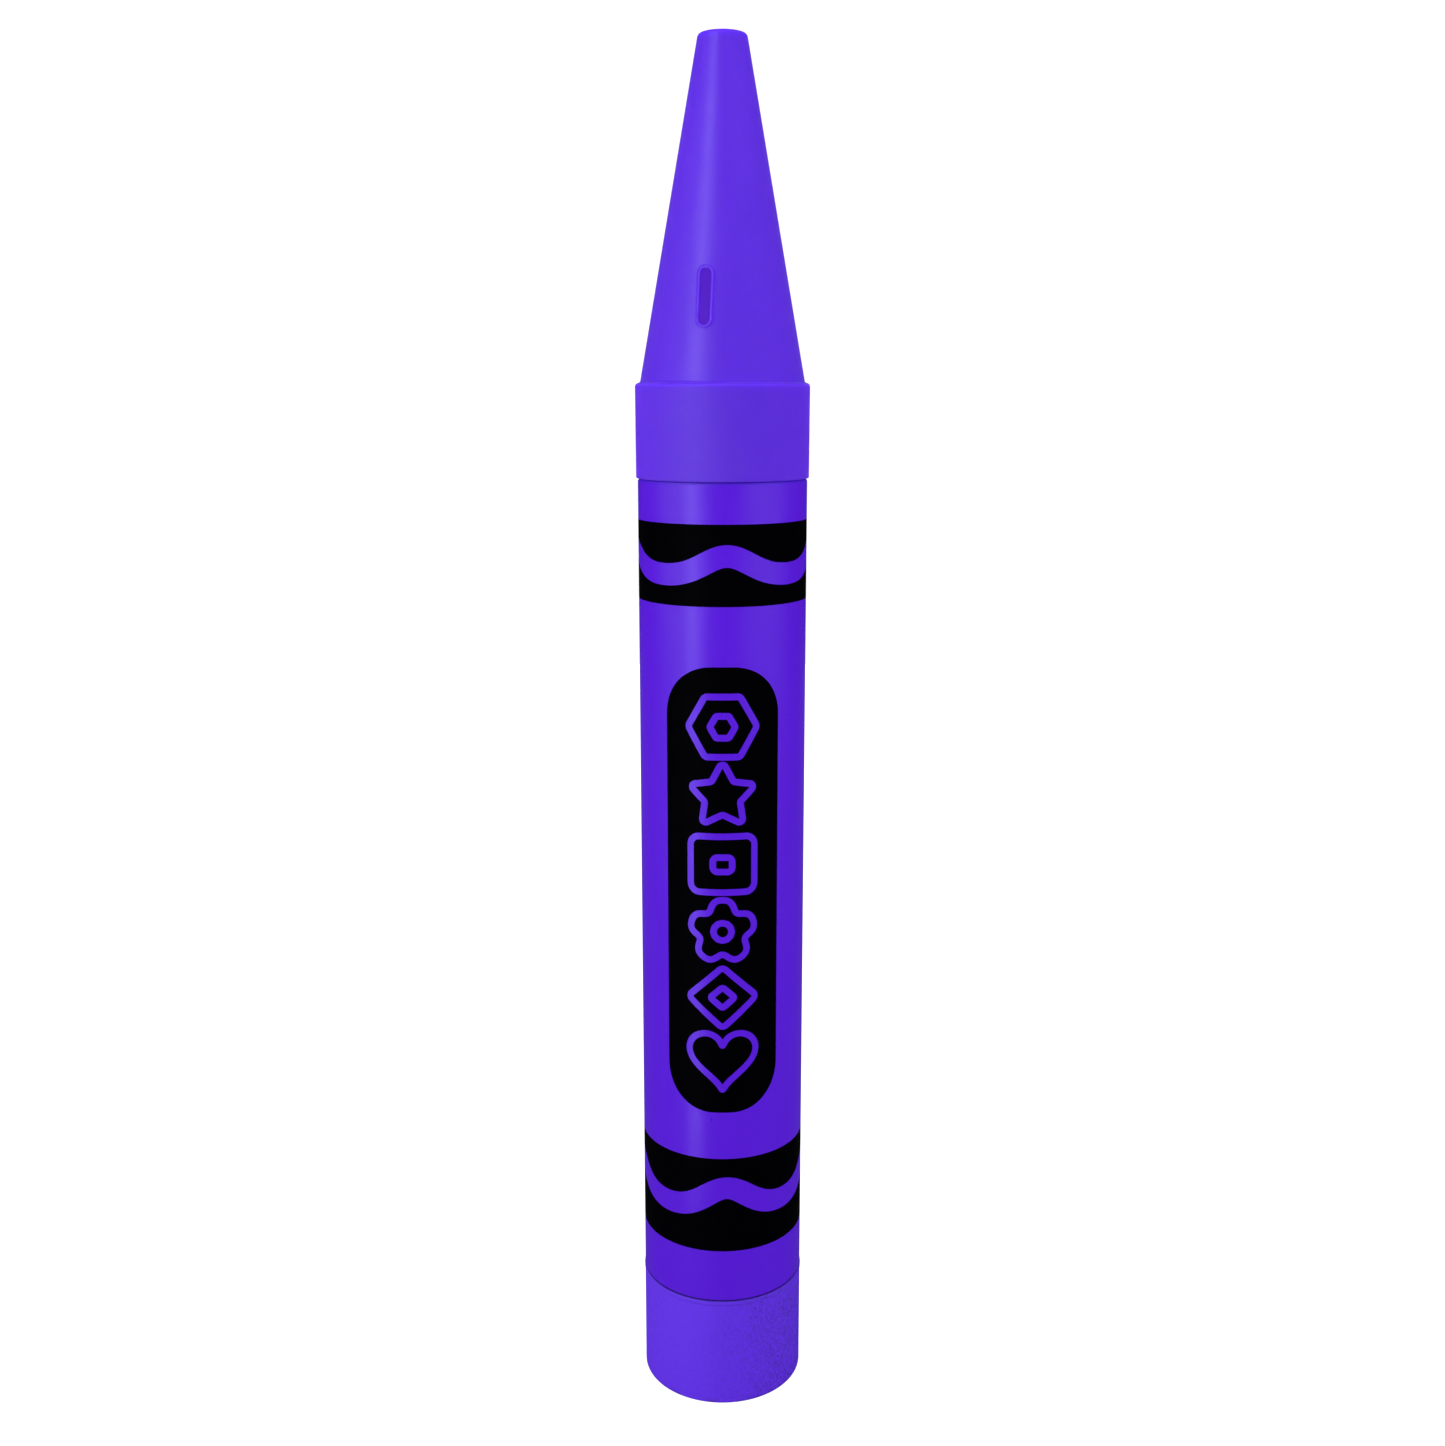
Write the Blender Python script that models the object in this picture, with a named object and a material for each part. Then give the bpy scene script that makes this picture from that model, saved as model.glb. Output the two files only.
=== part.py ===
"""Giant crayon-shaped coin bank, in metres, +Z up, standing on its foot with the origin under its centre.

The coin slot faces -Y. Everything is turned about the Z axis, so every shell is a profile that a Screw
modifier spins. The cap lifts straight up off the tube, along Z.
"""
import math

import bmesh
import bpy
from mathutils import Vector

SEGMENTS = 64                # sides of every turned piece, so that neighbours' facets line up
ARC_STEPS = 5                # segments in a rounded corner of a profile
MERGE = 0.00001
SEAT_GAP = 0.0003            # between two faces that rest on each other

# The whole object
HEIGHT = 0.914
LABEL_RADIUS = 0.0557        # outside of the printed wrap, which the foot is flush with

# Printed wrap
LABEL_THICKNESS = 0.0003
LABEL_TOP_REVEAL = 0.0008    # bare tube between the wrap and the cap's skirt
LABEL_FOOT_REVEAL = 0.0008   # bare tube between the wrap and the foot

# Body tube
TUBE_WALL = 0.0020
NECK_STEP = 0.0005           # how far the neck under the cap is turned down
NECK_LEAD = 0.0008           # chamfer on the tube's upper rim

# Foot
FOOT_HEIGHT = 0.078          # underside to the seam with the tube
FOOT_WALL = 0.0022
FOOT_EDGE_RADIUS = 0.0012    # rounding of the edge it stands on
FOOT_RIM_PROUD = 0.0003      # bead round the seam
FOOT_RIM_HEIGHT = 0.0024
SPIGOT_LENGTH = 0.026        # part of the foot inside the tube
SPIGOT_WALL = 0.0020
SPIGOT_CLEARANCE = 0.0003
SPIGOT_LEAD = 0.0010
STAND_RING_WIDTH = 0.0064    # flat ring that touches the floor
FLOOR_RISE = 0.0050          # underside of the foot's floor above the ring
FLOOR_THICKNESS = 0.0024
FLOOR_RIB_COUNT = 8
FLOOR_RIB_WIDTH = 0.0016
FLOOR_RIB_DEPTH = 0.0026
FLOOR_HUB_RADIUS = 0.0090

# Cap: cone, shoulder and skirt
CONE_HEIGHT = 0.214          # shoulder's top to the tip
SKIRT_HEIGHT = 0.061         # skirt's lower edge to the shoulder's top
SKIRT_PROUD = 0.0012         # skirt's outside beyond the wrap
SKIRT_DRAFT = 0.0002         # the skirt is this much wider at its shoulder
SKIRT_CLEARANCE = 0.0004     # skirt's inside to the neck
SKIRT_EDGE_RADIUS = 0.0005
SHOULDER_THICKNESS = 0.0024
SHOULDER_RADIUS = 0.0026     # rounding over the shoulder's outer edge
SHOULDER_WIDTH = 0.0033      # shoulder's outer edge to the foot of the cone
CONE_FILLET_RADIUS = 0.0016  # hollow corner where the cone leaves the shoulder
TIP_RADIUS = 0.0155
TIP_EDGE_RADIUS = 0.0028
CONE_WALL = 0.0018
TIP_WALL = 0.0026

# Coin slot, cut straight in along Y
SLOT_RISE = 0.052            # shoulder's top to the slot's middle
SLOT_LENGTH = 0.0345
SLOT_WIDTH = 0.0070
LIP_WIDTH = 0.0015
LIP_HEIGHT = 0.0009
SLOT_END_STEPS = 8

# Sizes that follow from the ones above
TUBE_RADIUS = LABEL_RADIUS - LABEL_THICKNESS - SEAT_GAP
BORE_RADIUS = TUBE_RADIUS - TUBE_WALL
NECK_RADIUS = TUBE_RADIUS - NECK_STEP
SKIRT_RADIUS = LABEL_RADIUS + SKIRT_PROUD
SKIRT_BORE = NECK_RADIUS + SKIRT_CLEARANCE
SHOULDER_TOP = HEIGHT - CONE_HEIGHT
SKIRT_BOTTOM = SHOULDER_TOP - SKIRT_HEIGHT
SLOT_CENTRE = SHOULDER_TOP + SLOT_RISE
LEDGE = SHOULDER_TOP - SHOULDER_THICKNESS
TUBE_TOP = LEDGE - SEAT_GAP
TUBE_BOTTOM = FOOT_HEIGHT + SEAT_GAP
NECK_BOTTOM = SKIRT_BOTTOM - LABEL_TOP_REVEAL / 2
CONE_RADIUS = SKIRT_RADIUS - SHOULDER_WIDTH
CONE_SLOPE = (CONE_RADIUS - TIP_RADIUS) / CONE_HEIGHT
SPIGOT_RADIUS = BORE_RADIUS - SPIGOT_CLEARANCE


def cone_radius(z):
    """Outside of the cone at height z."""
    return TIP_RADIUS + (HEIGHT - z) * CONE_SLOPE


def clear_scene():
    for item in list(bpy.data.objects):
        bpy.data.objects.remove(item, do_unlink=True)


def plastic(name, colour, roughness):
    """Opaque moulded or printed plastic."""
    material = bpy.data.materials.new(name)
    material.use_nodes = True
    shader = material.node_tree.nodes["Principled BSDF"]
    shader.inputs["Base Color"].default_value = (*colour, 1.0)
    shader.inputs["Roughness"].default_value = roughness
    shader.inputs["Metallic"].default_value = 0.0
    material.diffuse_color = (*colour, 1.0)
    return material


def corner(before, at, after, radius):
    """Points of an arc of that radius in the corner `at` of a profile, from the side of `before`."""
    at, before, after = Vector(at), Vector(before), Vector(after)
    u, v = (before - at).normalized(), (after - at).normalized()
    half = u.angle(v) / 2
    centre = at + (u + v).normalized() * radius / math.sin(half)
    start = at + u * radius / math.tan(half) - centre
    end = at + v * radius / math.tan(half) - centre
    sweep = start.angle_signed(end)
    points = []
    for step in range(ARC_STEPS + 1):
        angle = -sweep * step / ARC_STEPS
        cos, sin = math.cos(angle), math.sin(angle)
        points.append((centre.x + start.x * cos - start.y * sin, centre.y + start.x * sin + start.y * cos))
    return points


def rounded(profile):
    """A profile of (radius, height, rounding) points, with its rounded corners as arcs."""
    points = []
    for index, (r, z, rounding) in enumerate(profile):
        if rounding:
            before = profile[index - 1][:2]
            after = profile[(index + 1) % len(profile)][:2]
            points.extend(corner(before, (r, z), after, rounding))
        else:
            points.append((r, z))
    return points


def turned(name, profile, material, closed):
    """A solid of revolution. The profile runs down its outer side first; a closed one is a ring."""
    points = rounded(profile)
    edges = [(i, i + 1) for i in range(len(points) - 1)]
    if closed:
        edges.append((len(points) - 1, 0))
    mesh = bpy.data.meshes.new(name)
    mesh.from_pydata([(r, 0.0, z) for r, z in points], edges, [])
    item = bpy.data.objects.new(name, mesh)
    bpy.context.scene.collection.objects.link(item)
    screw = item.modifiers.new("Turn", "SCREW")
    screw.axis = "Z"
    screw.angle = 2 * math.pi
    screw.steps = SEGMENTS
    screw.render_steps = SEGMENTS
    screw.use_merge_vertices = True
    screw.merge_threshold = MERGE
    screw.use_smooth_shade = True
    if material:
        mesh.materials.append(material)
    return item


def as_cutter(item):
    item.hide_render = True
    item.display_type = "WIRE"
    return item


def cut(item, other, operation):
    boolean = item.modifiers.new(operation.title(), "BOOLEAN")
    boolean.operation = operation
    boolean.solver = "EXACT"
    boolean.object = other


def slot_prism(name, grow):
    """An upright obround bar along Y, through the cap's front wall. grow widens the slot all round."""
    radius = SLOT_WIDTH / 2 + grow
    reach = (SLOT_LENGTH - SLOT_WIDTH) / 2
    outline = []
    for end, start in ((1, 0.0), (-1, math.pi)):
        for step in range(SLOT_END_STEPS + 1):
            angle = start + math.pi * step / SLOT_END_STEPS
            outline.append((radius * math.cos(angle), SLOT_CENTRE + end * reach + radius * math.sin(angle)))
    work = bmesh.new()
    face = work.faces.new([work.verts.new((x, -SKIRT_RADIUS, z)) for x, z in outline])
    pushed = bmesh.ops.extrude_face_region(work, geom=[face])
    moved = [v for v in pushed["geom"] if isinstance(v, bmesh.types.BMVert)]
    bmesh.ops.translate(work, verts=moved, vec=(0.0, SKIRT_RADIUS - TIP_RADIUS / 2, 0.0))
    bmesh.ops.recalc_face_normals(work, faces=work.faces)
    mesh = bpy.data.meshes.new(name)
    work.to_mesh(mesh)
    work.free()
    item = bpy.data.objects.new(name, mesh)
    bpy.context.scene.collection.objects.link(item)
    return as_cutter(item)


def slot_lip():
    """The raised lip round the coin slot, as a slice of a slightly larger cone."""
    reach = SLOT_LENGTH / 2 + LIP_WIDTH + LIP_HEIGHT
    low, high = SLOT_CENTRE - reach, SLOT_CENTRE + reach
    sunk = CONE_WALL / 2
    profile = [
        (cone_radius(high) + LIP_HEIGHT, high, 0),
        (cone_radius(low) + LIP_HEIGHT, low, 0),
        (cone_radius(low) - sunk, low, 0),
        (cone_radius(high) - sunk, high, 0),
    ]
    lip = as_cutter(turned("slot_lip_guide", profile, None, True))
    cut(lip, slot_prism("slot_lip_outline_guide", LIP_WIDTH), "INTERSECT")
    return lip


def tip_cap(material):
    """One moulded shell: cone with a flat tip, shoulder, and the skirt that slides over the tube's neck."""
    inner_tip = HEIGHT - TIP_WALL
    profile = [
        (0.0, HEIGHT, 0),
        (TIP_RADIUS, HEIGHT, TIP_EDGE_RADIUS),
        (CONE_RADIUS, SHOULDER_TOP, CONE_FILLET_RADIUS),
        (SKIRT_RADIUS, SHOULDER_TOP, SHOULDER_RADIUS),
        (SKIRT_RADIUS - SKIRT_DRAFT, SKIRT_BOTTOM, SKIRT_EDGE_RADIUS),
        (SKIRT_BORE, SKIRT_BOTTOM, SKIRT_EDGE_RADIUS),
        (SKIRT_BORE, LEDGE, 0),
        (cone_radius(LEDGE) - CONE_WALL, LEDGE, 0),
        (cone_radius(inner_tip) - CONE_WALL, inner_tip, TIP_EDGE_RADIUS),
        (0.0, inner_tip, 0),
    ]
    cap = turned("tip_cap", profile, material, False)
    cut(cap, slot_lip(), "UNION")
    cut(cap, slot_prism("slot_cut_guide", 0.0), "DIFFERENCE")
    return cap


def body_tube(material):
    """Straight tube, with a neck under the cap's skirt."""
    profile = [
        (NECK_RADIUS - NECK_LEAD / 2, TUBE_TOP, 0),
        (NECK_RADIUS, TUBE_TOP - NECK_LEAD, 0),
        (NECK_RADIUS, NECK_BOTTOM, 0),
        (TUBE_RADIUS, NECK_BOTTOM - NECK_STEP, 0),
        (TUBE_RADIUS, TUBE_BOTTOM, 0),
        (BORE_RADIUS, TUBE_BOTTOM, 0),
        (BORE_RADIUS, TUBE_TOP, 0),
    ]
    return turned("body_tube", profile, material, True)


def wrap_label(material):
    """The printed film round the tube, from the foot's seam to the cap."""
    top = NECK_BOTTOM - NECK_STEP - LABEL_TOP_REVEAL / 2
    bottom = FOOT_HEIGHT + LABEL_FOOT_REVEAL
    inside = LABEL_RADIUS - LABEL_THICKNESS
    profile = [
        (LABEL_RADIUS, top, 0),
        (LABEL_RADIUS, bottom, 0),
        (inside, bottom, 0),
        (inside, top, 0),
    ]
    return turned("wrap_label", profile, material, True)


def floor_ribs():
    """Radial ribs under the foot's floor, from its hub to the standing ring."""
    under = FLOOR_RISE + FLOOR_THICKNESS / 2
    low = FLOOR_RISE - FLOOR_RIB_DEPTH
    inner = FLOOR_HUB_RADIUS / 2
    outer = LABEL_RADIUS - STAND_RING_WIDTH / 2
    half = FLOOR_RIB_WIDTH / 2
    work = bmesh.new()
    for index in range(FLOOR_RIB_COUNT // 2):
        angle = math.pi * (index + 0.5) / (FLOOR_RIB_COUNT // 2)
        along = Vector((math.cos(angle), math.sin(angle), 0.0))
        across = Vector((-along.y, along.x, 0.0)) * half
        for way in (along, -along):
            corners = [way * inner - across, way * inner + across, way * outer + across, way * outer - across]
            base = [work.verts.new((c.x, c.y, low)) for c in corners]
            face = work.faces.new(base)
            pushed = bmesh.ops.extrude_face_region(work, geom=[face])
            moved = [v for v in pushed["geom"] if isinstance(v, bmesh.types.BMVert)]
            bmesh.ops.translate(work, verts=moved, vec=(0.0, 0.0, under - low))
    bmesh.ops.recalc_face_normals(work, faces=work.faces)
    mesh = bpy.data.meshes.new("floor_ribs_guide")
    work.to_mesh(mesh)
    work.free()
    item = bpy.data.objects.new("floor_ribs_guide", mesh)
    bpy.context.scene.collection.objects.link(item)
    return as_cutter(item)


def foot_cap(material):
    """Blow-moulded cup that the bank stands on, with a spigot plugged into the tube."""
    rim = LABEL_RADIUS + FOOT_RIM_PROUD
    top = FOOT_HEIGHT + SPIGOT_LENGTH
    ring_inside = LABEL_RADIUS - STAND_RING_WIDTH
    profile = [
        (SPIGOT_RADIUS, top, SPIGOT_LEAD),
        (SPIGOT_RADIUS, FOOT_HEIGHT, 0),
        (rim, FOOT_HEIGHT, SEAT_GAP),
        (rim, FOOT_HEIGHT - FOOT_RIM_HEIGHT, 0),
        (LABEL_RADIUS, FOOT_HEIGHT - FOOT_RIM_HEIGHT - FOOT_RIM_PROUD, 0),
        (LABEL_RADIUS, 0.0, FOOT_EDGE_RADIUS),
        (ring_inside, 0.0, FOOT_EDGE_RADIUS),
        (ring_inside, FLOOR_RISE, 0),
        (FLOOR_HUB_RADIUS, FLOOR_RISE, 0),
        (FLOOR_HUB_RADIUS, FLOOR_RISE - FLOOR_RIB_DEPTH, 0),
        (0.0, FLOOR_RISE - FLOOR_RIB_DEPTH, 0),
    ]
    inside = [
        (0.0, FLOOR_RISE + FLOOR_THICKNESS, 0),
        (LABEL_RADIUS - FOOT_WALL, FLOOR_RISE + FLOOR_THICKNESS, FOOT_WALL),
        (LABEL_RADIUS - FOOT_WALL, FOOT_HEIGHT - FOOT_WALL - SPIGOT_WALL, 0),
        (SPIGOT_RADIUS - SPIGOT_WALL, FOOT_HEIGHT, 0),
        (SPIGOT_RADIUS - SPIGOT_WALL, top, 0),
    ]
    foot = turned("foot_cap", profile + inside, material, True)
    cut(foot, floor_ribs(), "UNION")
    return foot


def build():
    clear_scene()
    tip_cap(plastic("cap_plastic", (0.117, 0.030, 0.716), 0.38))
    body_tube(plastic("tube_plastic", (0.110, 0.028, 0.640), 0.45))
    wrap_label(plastic("label_film", (0.098, 0.012, 0.694), 0.30))
    foot_cap(plastic("foot_plastic", (0.117, 0.030, 0.680), 0.62))


build()
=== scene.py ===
import math

import bmesh
import bpy
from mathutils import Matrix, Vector


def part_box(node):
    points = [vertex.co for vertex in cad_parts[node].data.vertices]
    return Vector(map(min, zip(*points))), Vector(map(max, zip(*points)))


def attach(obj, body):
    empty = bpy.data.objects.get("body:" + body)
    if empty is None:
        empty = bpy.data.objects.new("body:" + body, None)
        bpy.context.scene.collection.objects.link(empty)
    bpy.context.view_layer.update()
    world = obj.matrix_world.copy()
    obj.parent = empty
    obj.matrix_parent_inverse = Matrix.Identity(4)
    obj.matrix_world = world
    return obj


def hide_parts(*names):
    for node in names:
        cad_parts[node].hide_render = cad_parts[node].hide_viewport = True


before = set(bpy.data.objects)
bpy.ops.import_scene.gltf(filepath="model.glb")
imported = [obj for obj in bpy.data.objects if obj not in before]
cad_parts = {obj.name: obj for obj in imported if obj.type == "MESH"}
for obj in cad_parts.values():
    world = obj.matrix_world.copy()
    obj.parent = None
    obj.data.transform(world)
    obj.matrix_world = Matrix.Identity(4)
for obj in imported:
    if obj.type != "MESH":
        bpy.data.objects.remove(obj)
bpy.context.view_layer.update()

bl_info = {
    "name": "Crayon Coin Bank",
    "version": (1, 0, 0),
    "blender": (4, 5, 0),
    "location": "3D Viewport > Sidebar > Coin Bank",
    "description": "Builds a giant crayon-shaped coin bank round its packed frame, in metres",
    "category": "Add Mesh",
}

CAP_LOW, CAP_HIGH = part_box("tip_cap")
TUBE_LOW, TUBE_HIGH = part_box("body_tube")
LABEL_LOW, LABEL_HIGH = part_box("wrap_label")
FOOT_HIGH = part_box("foot_cap")[1]

LABEL_RADIUS = LABEL_HIGH.x
TUBE_RADIUS = TUBE_HIGH.x
HEIGHT = CAP_HIGH.z
MM = 0.001
FACING = math.radians(14.0)   # the label's front is turned this far round from the coin slot
SLOT_ANGLE = -math.pi / 2     # the slot faces -Y
SEAM = TUBE_LOW.z - 0.3 * MM  # where the foot's outside ends
SKIRT_TOP = CAP_LOW.z + 61.0 * MM


# Sizes and colours that a user may change

def length(name, description, default):
    return bpy.props.FloatProperty(name=name, description=description, default=default, min=0.0,
                                   unit="LENGTH", precision=5)


def colour(name, description, default):
    return bpy.props.FloatVectorProperty(name=name, description=description, default=default, size=3,
                                         min=0.0, max=1.0, subtype="COLOR")


class CapSizes(bpy.types.PropertyGroup):
    """Sizes of the cone cap and its coin slot."""
    cone_height: length("Cone height", "Shoulder's top to the tip", 0.214)
    skirt_radius: length("Skirt radius", "Outside of the skirt at the shoulder", LABEL_RADIUS + 1.2 * MM)
    skirt_bore: length("Skirt bore", "Inside radius of the skirt", TUBE_RADIUS - 0.1 * MM)
    shoulder_width: length("Shoulder width", "Skirt's outside to the foot of the cone", 0.0033)
    shoulder_wall: length("Shoulder wall", "Thickness of the shoulder over the tube's rim", 0.0024)
    tip_radius: length("Tip radius", "Radius of the flat tip", 0.0155)
    wall: length("Cone wall", "Thickness of the cone, measured level", 0.0018)
    tip_wall: length("Tip wall", "Thickness of the closed tip", 0.0026)
    slot_rise: length("Slot rise", "Shoulder's top to the slot's middle", 0.052)
    slot_length: length("Slot length", "Length of the coin slot", 0.0345)
    slot_width: length("Slot width", "Width of the coin slot", 0.0070)
    lip_width: length("Lip width", "Width of the rolled lip round the slot", 0.0016)
    lip_height: length("Lip height", "How far the lip stands out of the cone", 0.0009)
    plastic: colour("Cap plastic", "Colour of the moulded cap", (0.094, 0.018, 0.948))


class TubeSizes(bpy.types.PropertyGroup):
    """Sizes of the body tube."""
    wall: length("Wall", "Thickness of the tube", 0.0020)
    neck_step: length("Neck step", "How far the neck is turned down", 0.0005)
    rim_round: length("Rim rounding", "Rounding of the upper rim", 0.0007)
    plastic: colour("Tube plastic", "Colour of the tube", (0.060, 0.003, 0.560))


class LabelSizes(bpy.types.PropertyGroup):
    """Sizes of the printed film and what is printed on it."""
    film: length("Film", "Thickness of the film", 0.00015)
    lap: length("Lap", "How far the film overlaps itself at the back", 0.009)
    reveal: length("Reveal", "How far the film stops short of its room at either end", 0.0005)
    ink: length("Ink", "Thickness of a printed layer", 0.00003)
    upper_low: length("Upper band, low edge", "Height of the upper band's lower edge", 0.5606)
    upper_high: length("Upper band, high edge", "Height of the upper band's upper edge", 0.6126)
    upper_wave: length("Upper wave", "Height of the upper stripe's middle", 0.5864)
    lower_low: length("Lower band, low edge", "Height of the lower band's lower edge", 0.1160)
    lower_high: length("Lower band, high edge", "Height of the lower band's upper edge", 0.1843)
    lower_wave: length("Lower wave", "Height of the lower stripe's middle", 0.1549)
    upper_swing: length("Upper swing", "How far the upper stripe swings to each side", 0.0063)
    lower_swing: length("Lower swing", "How far the lower stripe swings to each side", 0.0080)
    upper_stripe: length("Upper stripe", "Width of the upper stripe", 0.0142)
    lower_stripe: length("Lower stripe", "Width of the lower stripe", 0.0158)
    wave_count: bpy.props.IntProperty(name="Waves", description="Waves round the label", default=4, min=1)
    wave_pinch: bpy.props.FloatProperty(
        name="Wave pinch", description="How much narrower crests are than troughs", default=0.36)
    wave_turn: bpy.props.FloatProperty(
        name="Wave turn", description="First crest's turn from the panel's middle",
        default=math.radians(3.0), subtype="ANGLE")
    panel_low: length("Panel, low edge", "Height of the panel's lower edge", 0.2180)
    panel_high: length("Panel, high edge", "Height of the panel's upper edge", 0.5220)
    panel_width: length("Panel width", "Width of the panel, measured round the tube", 0.0784)
    panel_corner: length("Panel corner", "Rounding of the panel's corners", 0.0325)
    motif_size: length("Motif size", "Width of each printed shape", 0.0485)
    motif_low: length("Shapes, low edge", "Height where the column of shapes starts", 0.2310)
    motif_high: length("Shapes, high edge", "Height where the column of shapes ends", 0.5060)
    motif_line: length("Motif line", "Width of the line round each shape", 0.0044)
    film_colour: colour("Film colour", "Colour of the film", (0.080, 0.0055, 0.595))
    black: colour("Ink colour", "Colour of the black ink", (0.0003, 0.0003, 0.0008))


class FootSizes(bpy.types.PropertyGroup):
    """Sizes of the foot."""
    height: length("Height", "Underside to the seam", 0.078)
    wall: length("Wall", "Thickness of the cup", 0.0022)
    rim_proud: length("Rim", "How far the bead at the seam stands out", 0.0003)
    rim_height: length("Rim height", "Height of the bead at the seam", 0.0024)
    spigot_gap: length("Spigot gap", "Clearance of the spigot in the tube", 0.0003)
    spigot_wall: length("Spigot wall", "Thickness of the spigot", 0.0020)
    ring_width: length("Ring width", "Width of the ring it stands on", 0.0064)
    floor_rise: length("Floor rise", "Height of the floor's underside", 0.0050)
    floor_wall: length("Floor wall", "Thickness of the floor", 0.0024)
    rib_depth: length("Rib depth", "How far the ribs hang under the floor", 0.0026)
    rib_width: length("Rib width", "Thickness of a rib", 0.0016)
    hub_radius: length("Hub radius", "Radius of the hub where the ribs meet", 0.0090)
    rib_count: bpy.props.IntProperty(name="Ribs", description="Ribs under the floor", default=8, min=3)
    plastic: colour("Foot plastic", "Colour of the textured foot", (0.0985, 0.019, 0.695))


class StageSizes(bpy.types.PropertyGroup):
    """Place of the camera, and size of the floor."""
    lens: bpy.props.FloatProperty(name="Lens", description="Focal length in millimetres", default=38.69)
    camera_distance: length("Camera distance", "From the axis, measured level", 1.029)
    camera_height: length("Camera height", "Above the floor", 0.6941)
    camera_tilt: bpy.props.FloatProperty(name="Camera tilt", description="How far it looks down",
                                         default=math.radians(10.74), subtype="ANGLE")
    camera_shift: bpy.props.FloatProperty(name="Camera shift", description="Vertical shift", default=-0.025)
    floor_size: length("Floor size", "Width of the floor", 60.0)


# Meshes

COLUMNS = 256                # sides of a turned piece
ARC_STEPS = 8                # segments in a rounded corner
SUPPORT = 0.4 * MM           # rows this close to a rounded corner keep the shading of the wall beside it flat


def new_object(name, mesh):
    item = bpy.data.objects.new(name, mesh)
    bpy.context.scene.collection.objects.link(item)
    return item


def face_outwards(mesh):
    work = bmesh.new()
    work.from_mesh(mesh)
    bmesh.ops.recalc_face_normals(work, faces=work.faces)
    work.to_mesh(mesh)
    work.free()


def smooth(mesh, angle=35.0):
    mesh.shade_smooth()
    mesh.set_sharp_from_angle(angle=math.radians(angle))


def arc_corner(before, at, after, radius):
    """Points of an arc in the corner `at`, with a supporting point on each wall just off the arc's ends."""
    at, before, after = Vector(at), Vector(before), Vector(after)
    u, v = (before - at), (after - at)
    room_u, room_v = u.length, v.length
    u.normalize()
    v.normalize()
    half = u.angle(v) / 2
    reach = radius / math.tan(half)
    centre = at + (u + v).normalized() * radius / math.sin(half)
    start, end = at + u * reach - centre, at + v * reach - centre
    sweep = start.angle_signed(end)
    points = []
    if room_u > 2 * (reach + SUPPORT):
        points.append(tuple(at + u * (reach + SUPPORT)))
    for step in range(ARC_STEPS + 1):
        angle = -sweep * step / ARC_STEPS
        cos, sin = math.cos(angle), math.sin(angle)
        points.append((centre.x + start.x * cos - start.y * sin, centre.y + start.x * sin + start.y * cos))
    if room_v > 2 * (reach + SUPPORT):
        points.append(tuple(at + v * (reach + SUPPORT)))
    return points


def rounded(profile):
    """A profile of (radius, height, rounding) with arcs in its rounded corners."""
    points = []
    for index, (r, z, rounding) in enumerate(profile):
        if rounding:
            before = profile[index - 1][:2]
            after = profile[(index + 1) % len(profile)][:2]
            points.extend(arc_corner(before, (r, z), after, rounding))
        else:
            points.append((r, z))
    return points


class Shell:
    """Collects the points and faces of a turned piece."""

    def __init__(self):
        self.points = []
        self.faces = []

    def add(self, x, y, z):
        self.points.append((x, y, z))
        return len(self.points) - 1

    def ring(self, r, z, skip=()):
        """One row of points. A row on the axis is a single point; skipped columns get no point."""
        if r < 1e-7:
            centre = self.add(0.0, 0.0, z)
            return [centre] * COLUMNS
        row = []
        for column in range(COLUMNS):
            if column in skip:
                row.append(None)
            else:
                a = SLOT_ANGLE + 2 * math.pi * column / COLUMNS
                row.append(self.add(r * math.cos(a), r * math.sin(a), z))
        return row

    def bridge(self, upper, lower, skip=()):
        """Faces between two rows, with the outside to the left when it runs down."""
        for column in range(COLUMNS):
            if column in skip:
                continue
            after = (column + 1) % COLUMNS
            corners = [upper[column], lower[column], lower[after], upper[after]]
            corners = [c for i, c in enumerate(corners) if c != corners[i - 1]]
            self.faces.append(corners)

    def strip(self, loop_a, loop_b):
        """Faces between two closed loops of as many points."""
        count = len(loop_a)
        for i in range(count):
            j = (i + 1) % count
            self.faces.append((loop_a[i], loop_a[j], loop_b[j], loop_b[i]))

    def mesh(self, name):
        mesh = bpy.data.meshes.new(name)
        mesh.from_pydata(self.points, [], self.faces)
        mesh.validate()
        mesh.update()
        return mesh


def turned(name, profile):
    """A solid of revolution, from a closed profile that runs down its outer side first."""
    shell = Shell()
    rows = [shell.ring(r, z) for r, z in rounded(profile)]
    for upper, lower in zip(rows, rows[1:] + rows[:1]):
        shell.bridge(upper, lower)
    mesh = shell.mesh(name)
    smooth(mesh)
    return new_object(name, mesh)


# The cap

PATCH_COLUMNS = 8            # half the width of the part of the cone that bends round the slot
PATCH_ROWS = 16
PATCH_REACH = 25.6 * MM      # half its height
TIP_ROUND = 2.8 * MM
CONE_FILLET = 1.6 * MM       # hollow corner where the cone leaves the shoulder
SHOULDER_ROUND = 2.6 * MM
SKIRT_ROUND = 0.6 * MM       # both edges of the skirt's lower end
SKIRT_DRAFT = 0.2 * MM       # how much the skirt narrows down to its lower edge
LIP_STEPS = 8                # segments over the rolled lip
BLENDS = (0.33, 0.66)        # loops between the slot and the patch's border


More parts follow.
